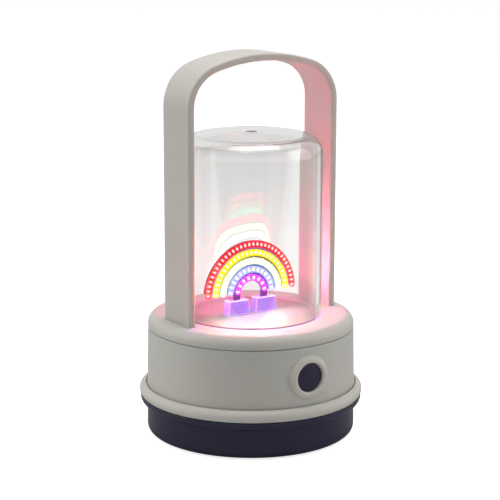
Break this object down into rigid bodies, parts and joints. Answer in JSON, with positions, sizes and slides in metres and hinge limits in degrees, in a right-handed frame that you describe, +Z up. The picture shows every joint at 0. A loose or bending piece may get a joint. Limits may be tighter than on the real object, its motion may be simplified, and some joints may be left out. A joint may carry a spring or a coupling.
{
  "type": "battery lantern lamp",
  "caption": "Small battery lantern: a light-up rainbow under a clear dome on a drum base with a push button, twist-off battery base and strap carry handle.",
  "frame": {"origin": "centre of the base on the surface that the lamp stands on", "axes": "+Z up along the lamp's axis; the button and the lit side of the rainbow face -Y; the handle spans along X"},
  "size_m": [0.0978, 0.0978, 0.1665],
  "materials": {
    "cream_plastic": "fine moulded satin, warm grey-cream",
    "floor_plastic": "smooth moulded, mauve-grey",
    "dark_plastic": "smooth, near-black navy",
    "foot_rubber": "matt",
    "clear_plastic": "clear moulded, polished",
    "board_mask": "solder mask, satin",
    "violet_light": "lit translucent tube",
    "blue_light": "lit translucent tube",
    "green_light": "lit translucent tube",
    "yellow_light": "lit translucent tube",
    "red_light": "lit translucent tube",
    "chip_light": "lit light chip",
    "socket_plastic": "clear moulded",
    "contact_metal": "plated spring sheet",
    "lead_sleeve": "insulated wire",
    "switch_plastic": "moulded",
    "driver_mask": "solder mask",
    "tray_plastic": "moulded",
    "cell_jacket": "plain jacket",
    "screw_steel": "plated"
  },
  "bodies": {
    "lamp": {"housing": "cream_plastic", "top_cap": "cream_plastic", "handle": "cream_plastic", "dome": "clear_plastic", "display_floor": "floor_plastic", "rainbow_board": "board_mask", "violet_tube": "violet_light", "blue_tube": "blue_light", "green_tube": "green_light", "yellow_tube": "yellow_light", "red_tube": "red_light", "led_chips": "chip_light", "left_socket": "socket_plastic", "right_socket": "socket_plastic", "socket_contacts": "contact_metal", "display_leads": "lead_sleeve", "switch_body": "switch_plastic", "driver_board": "driver_mask", "board_parts": "switch_plastic", "battery_tray": "tray_plastic", "battery_contacts": "contact_metal", "dry_cells": "cell_jacket", "battery_leads": "lead_sleeve", "cap_screws": "screw_steel", "tray_screws": "screw_steel"},
    "base": {"base_cup": "dark_plastic", "rubber_feet": "foot_rubber"},
    "button": {"button_cap": "dark_plastic", "switch_plunger": "switch_plastic"}
  },
  "joints": [
    {"name": "button_press", "type": "slide", "parent": "lamp", "child": "button", "axis": [0, 1, 0], "range_m": [0, 0.0015], "stiffness_N_per_m": 1200, "springref_m": -0.0006},
    {"name": "base_twist", "type": "hinge", "parent": "lamp", "child": "base", "pos_m": [0, 0, 0], "axis": [0, 0, 1], "range_deg": [0, 25]}
  ]
}
